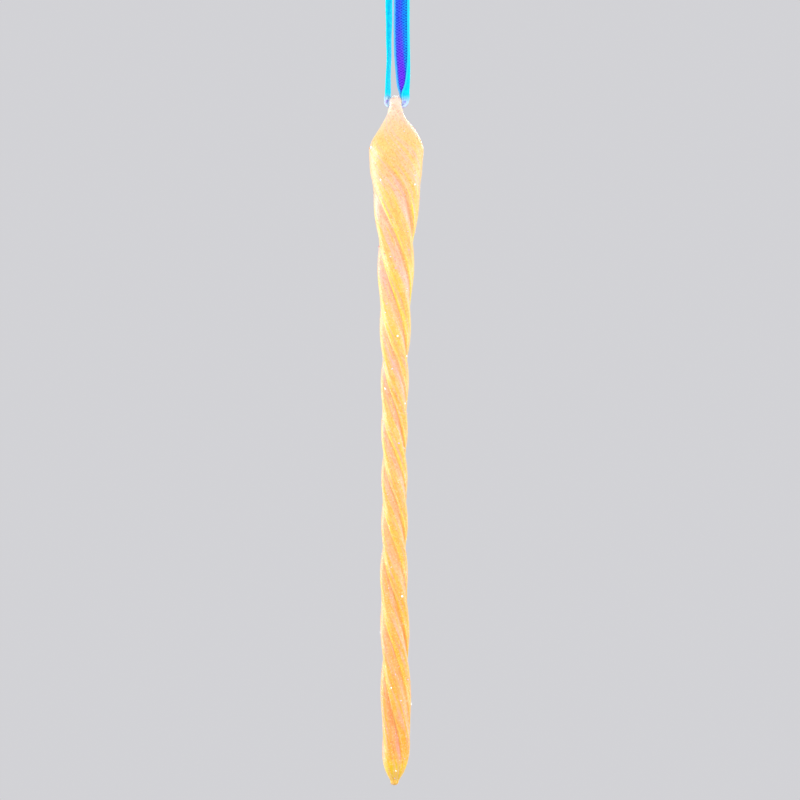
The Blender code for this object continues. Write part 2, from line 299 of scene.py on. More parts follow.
def add_node(material, kind, settings=None, inputs=None):
    """Adds a shader node. An input is given a value, or another node's output to read.
    A setting named stops gives a colour ramp its places and hex colours."""
    node = material.node_tree.nodes.new(kind)
    for name, value in (settings or {}).items():
        if name == "stops":
            ramp = node.color_ramp
            while len(ramp.elements) < len(value):
                ramp.elements.new(0.5)
            for element, (place, code) in zip(ramp.elements, value):
                element.position, element.color = place, srgb(code)
        else:
            setattr(node, name, value)
    for name, value in (inputs or {}).items():
        if isinstance(value, bpy.types.NodeSocket):
            material.node_tree.links.new(value, node.inputs[name])
        else:
            node.inputs[name].default_value = value
    return node


def new_material(name, values):
    """A material with one shader, and the values of that shader's sockets."""
    material = bpy.data.materials.new(name)
    material.use_nodes = True
    shader = material.node_tree.nodes["Principled BSDF"]
    for socket, value in values.items():
        shader.inputs[socket].default_value = value
    return material, shader


# Nylon organza: clean bright dye and a soft shine across the threads. The single layer is blue to
# violet, and a doubled or selvedge layer is a dense cyan. Threads are about 0.2 mm apart. The weave is
# drawn 1.5 mm apart across the ribbon and 0.9 mm along it, so that it shows.
WEAVE_PITCH = 1.5
WEFT_CLOSENESS = 0.6  # the weft is beaten closer together than the warp
WEAVE_DEPTH = 0.08 * MM
THREAD_CONTRAST = 0.8
SELVEDGE_BLEND = 0.1  # in mm
LOOSE_HEIGHT, TIGHT_HEIGHT = -0.047, -0.063  # where the sheer middle starts to turn violet, and where it is fully violet
# How strongly the pale painted highlight shows on the pleats.
PLEAT_HIGHLIGHT = 0.85
organza, organza_shader = new_material(
    "nylon_organza_ribbon",
    {
        "Roughness": 0.6,
        "IOR": 1.53,
        "Specular IOR Level": 0.08,
        "Sheen Weight": 0.02,
        "Sheen Roughness": 0.35,
        "Sheen Tint": srgb("#9FE8FF"),
    },
)
ribbon_uv = add_node(organza, "ShaderNodeUVMap", {"uv_map": "weave"})
ribbon_place = add_node(organza, "ShaderNodeSeparateXYZ", inputs={0: ribbon_uv.outputs[0]})
warp = add_node(
    organza,
    "ShaderNodeMath",
    {"operation": "MULTIPLY"},
    {0: ribbon_place.outputs[0], 1: 2 * math.pi / WEAVE_PITCH},
)
weft = add_node(
    organza,
    "ShaderNodeMath",
    {"operation": "MULTIPLY"},
    {0: ribbon_place.outputs[1], 1: 2 * math.pi / (WEAVE_PITCH * WEFT_CLOSENESS)},
)
warp_wave = add_node(organza, "ShaderNodeMath", {"operation": "SINE"}, {0: warp.outputs[0]})
weft_wave = add_node(organza, "ShaderNodeMath", {"operation": "SINE"}, {0: weft.outputs[0]})
weave = add_node(
    organza,
    "ShaderNodeMath",
    {"operation": "MULTIPLY"},
    {0: warp_wave.outputs[0], 1: weft_wave.outputs[0]},
)
slubs = add_node(
    organza, "ShaderNodeTexNoise", inputs={"Vector": ribbon_uv.outputs[0], "Scale": 2.2, "Detail": 1.0}
)
slub_height = add_node(
    organza,
    "ShaderNodeMapRange",
    inputs={"Value": slubs.outputs[0], "From Min": 0.3, "From Max": 0.7, "To Min": -0.7, "To Max": 0.7},
)
uneven_weave = add_node(
    organza, "ShaderNodeMath", {"operation": "ADD"}, {0: weave.outputs[0], 1: slub_height.outputs[0]}
)
weave_height = add_node(
    organza,
    "ShaderNodeMapRange",
    inputs={"Value": uneven_weave.outputs[0], "From Min": -1.0, "From Max": 1.0},
)
across_ribbon = add_node(
    organza,
    "ShaderNodeMapRange",
    inputs={"Value": ribbon_place.outputs[0], "From Min": 0.0, "From Max": RIBBON_WIDTH / MM},
)
blue_part = add_node(
    organza,
    "ShaderNodeValToRGB",
    {
        "stops": (
            (0.085, "#50B4FF"),
            (0.13, "#2878F4"),
            (0.22, "#3062FF"),
            (0.32, "#4C5EFF"),
            (0.42, "#2C74FF"),
            (0.52, "#1292FF"),
            (0.64, "#00A8FA"),
            (0.9, "#00DCFF"),
        )
    },
    {0: across_ribbon.outputs[0]},
)
violet_part = add_node(
    organza,
    "ShaderNodeValToRGB",
    {
        "stops": (
            (0.085, "#28A8F4"),
            (0.13, "#4A60F6"),
            (0.19, "#7A38FF"),
            (0.44, "#7C3AFF"),
            (0.5, "#4260FA"),
            (0.57, "#12A4FA"),
            (0.9, "#00DCFF"),
        )
    },
    {0: across_ribbon.outputs[0]},
)
# Towards the eye the sheer middle turns from blue to a deeper violet.
ribbon_object_place = add_node(organza, "ShaderNodeTexCoord").outputs["Object"]
ribbon_height = add_node(organza, "ShaderNodeSeparateXYZ", inputs={0: ribbon_object_place})
tightness = add_node(
    organza,
    "ShaderNodeMapRange",
    inputs={"Value": ribbon_height.outputs[2], "From Min": LOOSE_HEIGHT, "From Max": TIGHT_HEIGHT},
)
sheer_colour = add_node(
    organza,
    "ShaderNodeMix",
    {"data_type": "RGBA"},
    {0: tightness.outputs[0], 6: blue_part.outputs[0], 7: violet_part.outputs[0]},
)
from_middle = add_node(
    organza,
    "ShaderNodeMath",
    {"operation": "SUBTRACT"},
    {0: ribbon_place.outputs[0], 1: RIBBON_WIDTH / MM / 2},
)
from_middle = add_node(organza, "ShaderNodeMath", {"operation": "ABSOLUTE"}, {0: from_middle.outputs[0]})
selvedge = add_node(
    organza,
    "ShaderNodeMapRange",
    inputs={
        "Value": from_middle.outputs[0],
        "From Min": (RIBBON_WIDTH / 2 - SELVEDGE) / MM,
        "From Max": (RIBBON_WIDTH / 2 - SELVEDGE) / MM + SELVEDGE_BLEND,
        "To Min": 0.0,
        "To Max": 1.0,
    },
)
thread_shade = add_node(
    organza,
    "ShaderNodeValToRGB",
    {"stops": ((0.2, "#5E3CC4"), (0.6, "#FFFFFF"))},
    {0: weave_height.outputs[0]},
)
woven_colour = add_node(
    organza,
    "ShaderNodeMix",
    {"data_type": "RGBA", "blend_type": "MULTIPLY"},
    {0: THREAD_CONTRAST, 6: sheer_colour.outputs[2], 7: thread_shade.outputs[0]},
)
woven_colour = add_node(
    organza,
    "ShaderNodeMix",
    {"data_type": "RGBA"},
    {0: selvedge.outputs[0], 6: woven_colour.outputs[2], 7: srgb("#54BCFF")},
)
dense_patches = add_node(
    organza, "ShaderNodeTexNoise", inputs={"Vector": ribbon_uv.outputs[0], "Scale": 0.55, "Detail": 3.0}
)
dense_colour = add_node(
    organza,
    "ShaderNodeValToRGB",
    {"stops": ((0.38, "#00C6F6"), (0.62, "#00E6FA"))},
    {0: dense_patches.outputs[0]},
)
crease_share = add_node(organza, "ShaderNodeAttribute", {"attribute_name": "creased"})
dense_colour = add_node(
    organza,
    "ShaderNodeMix",
    {"data_type": "RGBA"},
    {0: crease_share.outputs["Fac"], 6: dense_colour.outputs[0], 7: srgb("#00EAFC")},
)
dense_colour = add_node(
    organza,
    "ShaderNodeMix",
    {"data_type": "RGBA"},
    {0: selvedge.outputs[0], 6: dense_colour.outputs[2], 7: srgb("#30D8FF")},
)
folded_share = add_node(organza, "ShaderNodeAttribute", {"attribute_name": "folded"})
layered_colour = add_node(
    organza,
    "ShaderNodeMix",
    {"data_type": "RGBA"},
    {0: folded_share.outputs["Fac"], 6: woven_colour.outputs[2], 7: dense_colour.outputs[2]},
)
# Painted highlights: where the ribbon is pleated through the eye, noisy patches, mostly pale lavender and
# white, are mixed into its colour to stand for light caught on the pleats.
gathered_share = add_node(organza, "ShaderNodeAttribute", {"attribute_name": "gathered"})
pleat_highlight_patches = add_node(
    organza, "ShaderNodeTexNoise", inputs={"Vector": ribbon_uv.outputs[0], "Scale": 0.8, "Detail": 2.0}
)
pleat_highlight_colour = add_node(
    organza,
    "ShaderNodeValToRGB",
    {"stops": ((0.3, "#A870FF"), (0.46, "#E0D0FF"), (0.62, "#D8F4FF"))},
    {0: pleat_highlight_patches.outputs[0]},
)
pleat_highlight_share = add_node(
    organza,
    "ShaderNodeMath",
    {"operation": "MULTIPLY"},
    {0: gathered_share.outputs["Fac"], 1: PLEAT_HIGHLIGHT},
)
ribbon_colour = add_node(
    organza,
    "ShaderNodeMix",
    {"data_type": "RGBA"},
    {0: pleat_highlight_share.outputs[0], 6: layered_colour.outputs[2], 7: pleat_highlight_colour.outputs[0]},
)
thread_cover = add_node(
    organza,
    "ShaderNodeMapRange",
    inputs={"Value": weave_height.outputs[0], "To Min": 0.9, "To Max": 1.0},
)
cover = add_node(
    organza,
    "ShaderNodeMath",
    {"operation": "ADD", "use_clamp": True},
    {0: thread_cover.outputs[0], 1: selvedge.outputs[0]},
)
weave_bump = add_node(
    organza,
    "ShaderNodeBump",
    inputs={"Strength": 0.5, "Distance": WEAVE_DEPTH, "Height": weave_height.outputs[0]},
)
organza.node_tree.links.new(ribbon_colour.outputs[2], organza_shader.inputs["Base Color"])
organza.node_tree.links.new(cover.outputs[0], organza_shader.inputs["Alpha"])
organza.node_tree.links.new(weave_bump.outputs[0], organza_shader.inputs["Normal"])
ribbon.data.materials.append(organza)


# ---- Ribbon knot and tails ----
# The two ends are tied together in an overhand knot, pulled tight into a lump of crossing wraps.
# Each tail leaves the knot's top and is cut off on a slant.

KNOT_RING, KNOT_TUBE = 1.55 * MM, 1.15 * MM
KNOT_DEPTH, KNOT_HEIGHT = 1.5, 0.9  # as shares of an even knot's
KNOT_FACING_DEPTH = 0.75
KNOT_FOLD, KNOT_PLEAT = 2.9 * MM, 0.5
KNOT_STEPS = 150
# The tails, in mm: where they start out from the middle, how far they spread, and how they curl.
TAIL_START, TAIL_SPREAD, TAIL_CURVE, TAIL_CURL, TAIL_CURL_TURN = 1.0, 5.0, 1.4, 0.5, 2.6
TAIL_SINK, TAIL_TRIM = 1.2 * MM, 0.8 * MM  # into the knot, and shorter than the CAD's tails
TAIL_FOLD, TAIL_UNFOLD = 2.9, 1.6  # folded in half at the knot, and open well before the cut
TAIL_PLEAT, TAIL_SLANT = 0.9, 0.45
TAIL_STEPS = 8

knot_low, knot_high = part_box("ribbon_knot")
knot_centre = (knot_low + knot_high) / 2
knot_rows = []
for i in range(KNOT_STEPS + 1):
    t = 2 * math.pi * i / KNOT_STEPS
    cos_ring, sin_ring = math.cos(2 * t), math.sin(2 * t)
    cos_tube, sin_tube = math.cos(3 * t), math.sin(3 * t)
    ring = KNOT_RING + KNOT_TUBE * cos_tube
    outward = Vector((cos_ring * cos_tube, KNOT_FACING_DEPTH * sin_tube, sin_ring * cos_tube))
    place = Vector((ring * cos_ring, KNOT_DEPTH * KNOT_TUBE * sin_tube, KNOT_HEIGHT * ring * sin_ring))
    knot_rows.append((place, outward.normalized()))
wound = []
for i, (place, outward) in enumerate(knot_rows):
    along = knot_rows[(i + 1) % KNOT_STEPS][0] - knot_rows[i - 1 if i else KNOT_STEPS - 1][0]
    across = along.normalized().cross(outward).normalized()
    wound.append((*(knot_centre + place), *across, KNOT_FOLD, KNOT_PLEAT))
knot = weave_ribbon("ribbon_knot_wraps", wound)
knot.data.materials.append(organza)

for side, cad_node, facing in (
    (-1, "ribbon_tail_left", (-0.25, -1.0, 0)),
    (1, "ribbon_tail_right", (0.35, -0.95, 0)),
):
    low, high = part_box(cad_node)
    rows = []
    for i in range(TAIL_STEPS + 1):
        t = i / TAIL_STEPS
        reach = TAIL_START + TAIL_SPREAD * t**TAIL_CURVE
        height = low.z - TAIL_SINK + (high.z - low.z - TAIL_TRIM) * t
        curl = TAIL_CURL * math.sin(TAIL_CURL_TURN * t + side)
        fold = TAIL_FOLD - TAIL_FOLD * min(TAIL_UNFOLD * t, 1.0)
        pleat = TAIL_PLEAT * (1 - t) ** 2
        rows.append((side * reach * MM, curl * MM, height, *facing, fold * MM, pleat))
    tail = weave_ribbon(cad_node + "_cut", smooth_rows(rows, ROW_LENGTH), slant=TAIL_SLANT)
    tail.data.materials.append(organza)
    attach(tail, "hanger")
    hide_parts(cad_node)

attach(knot, "hanger")
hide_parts("ribbon_knot")

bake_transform(ribbon)
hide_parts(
    "ribbon_bight",
    "ribbon_strand_left",
    "ribbon_strand_right",
    "ribbon_top_left",
    "ribbon_top_right",
)


# ---- Glass icicle ----
# One bar of soft glass from a four-lobed mould, drawn out and twisted to the left while it was hot.
# Each flute has a crisp ridge beside its groove, a broad face, and a long hollow to the next groove.
# The bulb at the top was left nearly smooth, and the tip was pulled off in a small blunt drop.

glass_bottom, eye_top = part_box("glass_icicle")[0].z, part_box("glass_eye")[1].z
GLASS_LENGTH = eye_top - glass_bottom
# Depths are measured from the top of the eye.
NECK_DEPTH, BULB_DEPTH, STEM_DEPTH = 5.0 * MM, 18.6 * MM, 127.0 * MM
TIP_LENGTH = 24.0 * MM
NECK_RADIUS, BULB_RADIUS, STEM_RADIUS, FOOT_RADIUS = 2.5 * MM, 9.28 * MM, 4.42 * MM, 5.1 * MM
NUB_RADIUS = 1.42 * MM  # the drop that the tip ends in
BULB_SWELL, STEM_TAPER, TIP_BLUNTNESS = 0.86, 2.25, 4.5  # powers that bend the outline
BODY_TOP = 5.0 * MM  # inside the eye, which is welded on
WELD_START, WELD_END, WELD_SINK = 5.0 * MM, 7.4 * MM, 0.05  # the two surfaces cross on a shallow slope
FLUTES = 4
# Across a flute from its groove: the place, as a share of the flute, and the height, 1 at the crest.
FLUTE_PLACES = (-0.03, 0.025, 0.065, 0.10, 0.18, 0.36, 0.56, 0.79)
FLUTE_HEIGHTS = (0.0, 0.26, 0.52, 0.57, 0.56, 1.02, 1.03, 0.56)
RIDGE_POINT, RIDGE_CREASE = 3, 0.5  # the ridge is creased where its groove is more than half formed
GROOVE_FLOORS = (0.655, 0.79)  # as shares of the crest's radius: deep and shallow grooves in turn
GROOVE_STARTS = (16.0 * MM, 24.0 * MM)  # the shallow grooves open further down
GROOVE_FULL, GROOVE_STOP, GROOVE_GONE = 43.0 * MM, 214.0 * MM, 225.0 * MM
SIDE_GROOVE_DEPTH = 47.7 * MM  # where the two deep grooves face left and right
TWIST_PLACES = ((0.0, 5.6), (0.1, 4.1), (0.5, 6.0), (1.0, 3.1))  # place below the bulb, degrees per mm
# The drawn bar isn't quite straight: how far its middle stands to the right, and back, in mm.
BAR_DRIFT = (
    (0, 0.0, 0.0),
    (7, 0.0, 0.0),
    (11.5, 0.5, 0.05),
    (16, 0.32, 0.1),
    (24, 0.2, 0.1),
    (32, 0.4, 0.0),
    (40, 0.28, 0.0),
    (75, -0.05, -0.2),
    (112, -0.35, 0.1),
    (142, -0.3, 0.2),
    (158, -0.5, 0.1),
    (190, 0.0, -0.2),
    (212, 0.3, -0.1),
    (229, -0.3, 0.1),
)


def crest_radius(depth):
    """The glass's radius over its crests, at a depth below the top of the eye."""
    if depth < BULB_DEPTH:
        t = max(depth - NECK_DEPTH, 0.0) / (BULB_DEPTH - NECK_DEPTH)
        return NECK_RADIUS + (BULB_RADIUS - NECK_RADIUS) * smooth_step(t**BULB_SWELL)
    if depth < STEM_DEPTH:
        t = (depth - BULB_DEPTH) / (STEM_DEPTH - BULB_DEPTH)
        return STEM_RADIUS + (BULB_RADIUS - STEM_RADIUS) * (1 - t) ** STEM_TAPER
    foot = GLASS_LENGTH - TIP_LENGTH
    if depth < foot:
        t = (depth - STEM_DEPTH) / (foot - STEM_DEPTH)
        return STEM_RADIUS + (FOOT_RADIUS - STEM_RADIUS) * smooth_step(t)
    nub = math.sqrt(max(NUB_RADIUS**2 - max(depth - GLASS_LENGTH + NUB_RADIUS, 0.0) ** 2, 0.0))
    return max(FOOT_RADIUS * (1 - min((depth - foot) / TIP_LENGTH, 1.0) ** TIP_BLUNTNESS), nub)


def twist_rate(depth):
    """Degrees per mm that the flutes turn through at a depth."""
    place = (depth - BULB_DEPTH) / (GLASS_LENGTH - BULB_DEPTH)
    rate = TWIST_PLACES[0][1]
    for (start, before), (end, after) in zip(TWIST_PLACES, TWIST_PLACES[1:]):
        rate += (after - before) * smooth_step((place - start) / (end - start))
    return rate


TWIST_STEP = 0.25 * MM
twist_sums = [0.0]
while len(twist_sums) * TWIST_STEP < GLASS_LENGTH + TWIST_STEP:
    step_rate = math.radians(twist_rate((len(twist_sums) - 0.5) * TWIST_STEP))
    twist_sums.append(twist_sums[-1] + step_rate * TWIST_STEP / MM)


def turn_from_top(depth):
    """How far the flutes have turned between the top of the eye and a depth."""
    i = min(int(depth / TWIST_STEP), len(twist_sums) - 2)
    return twist_sums[i] + (twist_sums[i + 1] - twist_sums[i]) * (depth / TWIST_STEP - i)


def twist_angle(depth):
    """How far the flutes have turned at a depth, from where the deep grooves face left and right."""
    return turn_from_top(depth) - turn_from_top(SIDE_GROOVE_DEPTH)


def groove_share(depth, groove=0):
    """How fully a deep or shallow groove is formed at a depth, from 0 to 1."""
    start = GROOVE_STARTS[groove]
    opening = smooth_step((depth - start) / (GROOVE_FULL - start))
    return opening * (1 - smooth_step((depth - GROOVE_STOP) / (GROOVE_GONE - GROOVE_STOP)))


def bar_middle(depth):
    """Where the middle of the drawn bar is at a depth."""
    for (start, x, y), (end, next_x, next_y) in zip(BAR_DRIFT, BAR_DRIFT[1:]):
        if depth <= end * MM or end == BAR_DRIFT[-1][0]:
            t = smooth_step((depth / MM - start) / (end - start))
            return Vector(((x + (next_x - x) * t) * MM, (y + (next_y - y) * t) * MM, eye_top - depth))


def body_radius(depth):
    """The bar's radius over its crests, which starts just under the eye's surface."""
    sunk = 1 - smooth_step((depth - WELD_START) / (WELD_END - WELD_START))
    return crest_radius(depth) * (1 - WELD_SINK * sunk)


def flute_radius(kind, depth):
    """A flute point's radius as a share of the crest's.

    Kinds run over two flutes, because the grooves alternate.
    """
    flute, point = divmod(kind, len(FLUTE_PLACES))
    groove = flute if FLUTE_PLACES[point] < 0.5 else 1 - flute
    return 1 - groove_share(depth, groove) * (1 - FLUTE_HEIGHTS[point]) * (1 - GROOVE_FLOORS[groove])


def selected_by_number(obj, layer_name):
    """The selected vertices of a mesh in edit mode, grouped by the number that a layer gives them."""
    bm = bmesh.from_edit_mesh(obj.data)
    layer = bm.verts.layers.int[layer_name]
    groups = {}
    for vert in bm.verts:
        if vert.select:
            groups.setdefault(vert[layer], []).append(vert)
    return bm, groups


def select_only(bm, verts):
    for vert in bm.verts:
        if vert.select:
            vert.select_set(False)
    for vert in verts:
        vert.select_set(True)
    bm.select_flush_mode()


# The rings that the bar is drawn through are closer together in the bulb and the tip.
BULB_RINGS_END, BULB_RING_GAP, BAR_RING_GAP, BAR_RINGS_END = 34 * MM, 1.2 * MM, 1.75 * MM, 6 * MM
TIP_RINGS = (4.8, 3.8, 3.0, 2.3, 1.7, 1.2, 0.75, 0.4, 0.15, 0.03)  # above the tip, in mm


def body_depths():
    """Depths of all the rings of the bar."""
    depths, depth = [], BODY_TOP
    while depth < GLASS_LENGTH - BAR_RINGS_END:
        depths.append(depth)
        depth += BULB_RING_GAP if depth < BULB_RINGS_END else BAR_RING_GAP
    return depths + [GLASS_LENGTH - d * MM for d in TIP_RINGS]


deselect_all()
depths = body_depths()
first = bar_middle(depths[0])
points_round = FLUTES * len(FLUTE_PLACES)
bpy.ops.mesh.primitive_circle_add(
    vertices=points_round, radius=body_radius(depths[0]), location=(0, 0, 0)
)
icicle = bpy.context.object
icicle.name = "glass_icicle_drawn"
bpy.ops.object.mode_set(mode="EDIT")
bm = bmesh.from_edit_mesh(icicle.data)
kind_layer = bm.verts.layers.int.new("flute_point")
bm.verts.ensure_lookup_table()
for vert in bm.verts:
    at = round(math.atan2(vert.co.y, vert.co.x) / (2 * math.pi) * points_round) % points_round
    vert[kind_layer] = at % (2 * len(FLUTE_PLACES))
    flute, point = divmod(at, len(FLUTE_PLACES))
    azimuth = (flute + FLUTE_PLACES[point]) * 2 * math.pi / FLUTES + twist_angle(depths[0])
    radius = body_radius(depths[0]) * flute_radius(vert[kind_layer], depths[0])
    vert.co = first + Vector((radius * math.cos(azimuth), radius * math.sin(azimuth), 0))
bmesh.update_edit_mesh(icicle.data)
bpy.ops.mesh.select_all(action="SELECT")

for before, depth in zip(depths, depths[1:]):
    middle = bar_middle(depth)
    bpy.ops.mesh.extrude_region_move(TRANSFORM_OT_translate={"value": middle - bar_middle(before)})
    widen = body_radius(depth) / body_radius(before)
    bpy.ops.transform.resize(value=(widen, widen, 1), center_override=middle)
    # With no window, a positive turn goes the other way.
    turn = twist_angle(depth) - twist_angle(before)
    bpy.ops.transform.rotate(value=-turn, orient_axis="Z", center_override=middle)
    changes = [abs(groove_share(depth, groove) - groove_share(before, groove)) for groove in (0, 1)]
    if max(changes) > 1e-5:
        bm, groups = selected_by_number(icicle, "flute_point")
        for kind, verts in groups.items():
            pull = flute_radius(kind, depth) / flute_radius(kind, before)
            select_only(bm, verts)
            bpy.ops.transform.resize(value=(pull, pull, 1), center_override=middle)
        select_only(bm, [vert for verts in groups.values() for vert in verts])


def close_ring():
    """Closes the selected ring with a fan of faces to its middle."""
    bpy.ops.mesh.extrude_region_move()
    bpy.ops.mesh.merge(type="CENTER")


close_ring()
bm = bmesh.from_edit_mesh(icicle.data)
select_only(bm, [vert for vert in bm.verts if vert.is_boundary])
close_ring()
bpy.ops.mesh.select_all(action="SELECT")
bpy.ops.mesh.normals_make_consistent(inside=False)
bm = bmesh.from_edit_mesh(icicle.data)
crease = bm.edges.layers.float.get("crease_edge") or bm.edges.layers.float.new("crease_edge")
kind_layer = bm.verts.layers.int["flute_point"]
for edge in bm.edges:
    kinds = {vert[kind_layer] % len(FLUTE_PLACES) for vert in edge.verts}
    if kinds == {RIDGE_POINT} and all(groove_share(eye_top - vert.co.z) > 0.5 for vert in edge.verts):
        edge[crease] = RIDGE_CREASE
bmesh.update_edit_mesh(icicle.data)
bpy.ops.object.mode_set(mode="OBJECT")
apply_modifier(icicle, "SUBSURF", levels=2, render_levels=2)
icicle.data.shade_smooth()


def mark_flutes(obj):
    """Gives each vertex its place round its flute, as a cosine and a sine, and how fully it is formed."""
    flute = obj.data.attributes.new("flute", "FLOAT_VECTOR", "POINT")
    for vert in obj.data.vertices:
        depth = min(max(eye_top - vert.co.z, 0.0), GLASS_LENGTH)
        middle = bar_middle(depth)
        azimuth = math.atan2(vert.co.y - middle.y, vert.co.x - middle.x) - twist_angle(depth)
        number, place = divmod(azimuth * FLUTES / (2 * math.pi), 1.0)
        share = groove_share(depth, int(number) % 2)
        next_share = groove_share(depth, int(number + 1) % 2)
        flute.data[vert.index].vector = (
            math.cos(FLUTES * azimuth),
            math.sin(FLUTES * azimuth),
            share + (next_share - share) * smooth_step(place),
        )


mark_flutes(icicle)


# Drawn soda-lime glass under a sugar-fine gold glitter: no clear glass shows, and the coat reads as a
# warm, grainy, softly glowing yellow. Round each flute, a painted highlight makes the ridges brightest,
# and painted shade, with some of the glitter's own pearly pink, makes the grooves darker and the hollows
# pinker. The grains are about 0.2 mm, and they are drawn at about 0.4 mm so that they show.
GRAINS_PER_METRE = 2700.0
GRAIN_DEPTH = 0.12 * MM
GRAIN_CONTRAST = 0.5
STREAK_PER_METRE = 60.0  # how fast the streaks change down the bar
glitter_glass, glass_shader = new_material(
    "gold_glittered_soda_glass",
    {
        "Roughness": 0.45,
        "IOR": 1.52,
        "Subsurface Weight": 0.35,
        "Subsurface Radius": (1.0, 0.7, 0.4),
        "Subsurface Scale": 0.9 * MM,
        "Coat Weight": 0.1,
        "Coat Roughness": 0.3,
        "Sheen Weight": 0.2,
        "Sheen Roughness": 0.35,
        "Sheen Tint": srgb("#FFF0D0"),
    },
)
glass_place = add_node(glitter_glass, "ShaderNodeTexCoord").outputs["Object"]
flute_place = add_node(glitter_glass, "ShaderNodeAttribute", {"attribute_name": "flute"})
flute_parts = add_node(glitter_glass, "ShaderNodeSeparateXYZ", inputs={0: flute_place.outputs["Vector"]})
flute_turn = add_node(
    glitter_glass,
    "ShaderNodeMath",
    {"operation": "ARCTAN2"},
    {0: flute_parts.outputs[1], 1: flute_parts.outputs[0]},
)
round_flute = add_node(
    glitter_glass,
    "ShaderNodeMath",
    {"operation": "DIVIDE"},
    {0: flute_turn.outputs[0], 1: 2 * math.pi},
)
round_flute = add_node(
    glitter_glass, "ShaderNodeMath", {"operation": "FRACT"}, {0: round_flute.outputs[0]}
)
height_parts = add_node(glitter_glass, "ShaderNodeSeparateXYZ", inputs={0: glass_place})
down_glass = add_node(
    glitter_glass,
    "ShaderNodeMapRange",
    inputs={"Value": height_parts.outputs[2], "From Min": eye_top, "From Max": glass_bottom},
)
plain_colour = add_node(
    glitter_glass,
    "ShaderNodeValToRGB",
    {
        "stops": (
            (0.0, "#FFE4D6"),
            (0.03, "#FFDAB4"),
            (0.07, "#FFCE76"),
            (0.5, "#FFCE66"),
            (0.85, "#FFC850"),
            (0.96, "#FFE038"),
        )
    },
    {0: down_glass.outputs[0]},
)
# Round each flute from its groove: the bright yellow ridge line is a painted highlight. The darker orange
# grooves and pink hollows are painted shade, partly also the glitter's own pink.
flute_colour_and_painted_light = add_node(
    glitter_glass,
    "ShaderNodeValToRGB",
    {
        "stops": (
            (0.0, "#FCCC92"),
            (0.035, "#FFDC82"),
            (0.085, "#FFF27C"),
            (0.13, "#FFE276"),
            (0.24, "#FFDA74"),
            (0.48, "#FFD87C"),
            (0.62, "#FFD294"),
            (0.74, "#FFCCBA"),
            (0.90, "#FFCABE"),
            (0.965, "#F8C49C"),
        )
    },
    {0: round_flute.outputs[0]},
)
# The coat is deeper and more orange towards the tip, where it was dipped longest.
deeper_coat = add_node(
    glitter_glass,
    "ShaderNodeValToRGB",
    {
        "stops": (
            (0.0, "#FFFFFF"),
            (0.12, "#FFFFF4"),
            (0.3, "#FFFEE2"),
            (0.55, "#FFF6CC"),
            (0.7, "#FFEEB4"),
            (0.86, "#FFE898"),
            (0.945, "#FFDC90"),
            (0.972, "#FFF48C"),
            (0.995, "#FFE8A8"),
        )
    },
    {0: down_glass.outputs[0]},
)
fluted_share = add_node(
    glitter_glass,
    "ShaderNodeMapRange",
    inputs={"Value": flute_parts.outputs[2], "From Min": 0.1, "From Max": 0.5, "To Max": 0.85},
)
glass_colour = add_node(
    glitter_glass,
    "ShaderNodeMix",
    {"data_type": "RGBA"},
    {0: fluted_share.outputs[0], 6: plain_colour.outputs[0], 7: flute_colour_and_painted_light.outputs[0]},
)
glass_colour = add_node(
    glitter_glass,
    "ShaderNodeMix",
    {"data_type": "RGBA", "blend_type": "MULTIPLY"},
    {0: 1.0, 6: glass_colour.outputs[2], 7: deeper_coat.outputs[0]},
)
# Streaks of thicker glitter that run along the flutes.
streak_vector = add_node(
    glitter_glass,
    "ShaderNodeCombineXYZ",
    inputs={0: flute_parts.outputs[0], 1: flute_parts.outputs[1], 2: 0.0},
)
streak_scaled = add_node(
    glitter_glass,
    "ShaderNodeVectorMath",
    {"operation": "MULTIPLY_ADD"},
    {0: glass_place, 1: (0, 0, STREAK_PER_METRE), 2: streak_vector.outputs[0]},
)
streaks = add_node(
    glitter_glass,
    "ShaderNodeTexNoise",
    inputs={"Vector": streak_scaled.outputs[0], "Scale": 1.7, "Detail": 3.0, "Roughness": 0.6},
)
streak_tint = add_node(
    glitter_glass,
    "ShaderNodeValToRGB",
    {"stops": ((0.40, "#FFE6E0"), (0.5, "#FFFFFF"), (0.60, "#FFF898"))},
    {0: streaks.outputs[0]},
)
streaked = add_node(
    glitter_glass,
    "ShaderNodeMix",
    {"data_type": "RGBA", "blend_type": "MULTIPLY"},
    {0: fluted_share.outputs[0], 6: glass_colour.outputs[2], 7: streak_tint.outputs[0]},
)
patches = add_node(
    glitter_glass,
    "ShaderNodeTexNoise",
    inputs={"Vector": streak_scaled.outputs[0], "Scale": 1.1, "Detail": 4.0, "Roughness": 0.65},
)
patch_share = add_node(
    glitter_glass,
    "ShaderNodeMapRange",
    inputs={"Value": patches.outputs[0], "From Min": 0.48, "From Max": 0.64, "To Max": 0.5},
)
patched = add_node(
    glitter_glass,
    "ShaderNodeMix",
    {"data_type": "RGBA"},
    {0: patch_share.outputs[0], 6: streaked.outputs[2], 7: srgb("#FFC0C8")},
)
grains = add_node(
    glitter_glass, "ShaderNodeTexVoronoi", inputs={"Vector": glass_place, "Scale": GRAINS_PER_METRE}
)
grain_number = add_node(glitter_glass, "ShaderNodeSeparateXYZ", inputs={0: grains.outputs["Color"]})
grain_tint = add_node(
    glitter_glass,
    "ShaderNodeValToRGB",
    {
        "stops": (
            (0.0, "#F0AC78"),
            (0.10, "#FFD8B8"),
            (0.26, "#FFFFFF"),
            (0.8, "#FFFFFF"),
            (0.9, "#FFE6DC"),
        )
    },
    {0: grain_number.outputs[0]},
)
grained = add_node(
    glitter_glass,
    "ShaderNodeMix",
    {"data_type": "RGBA", "blend_type": "MULTIPLY"},
    {0: GRAIN_CONTRAST, 6: patched.outputs[2], 7: grain_tint.outputs[0]},
)
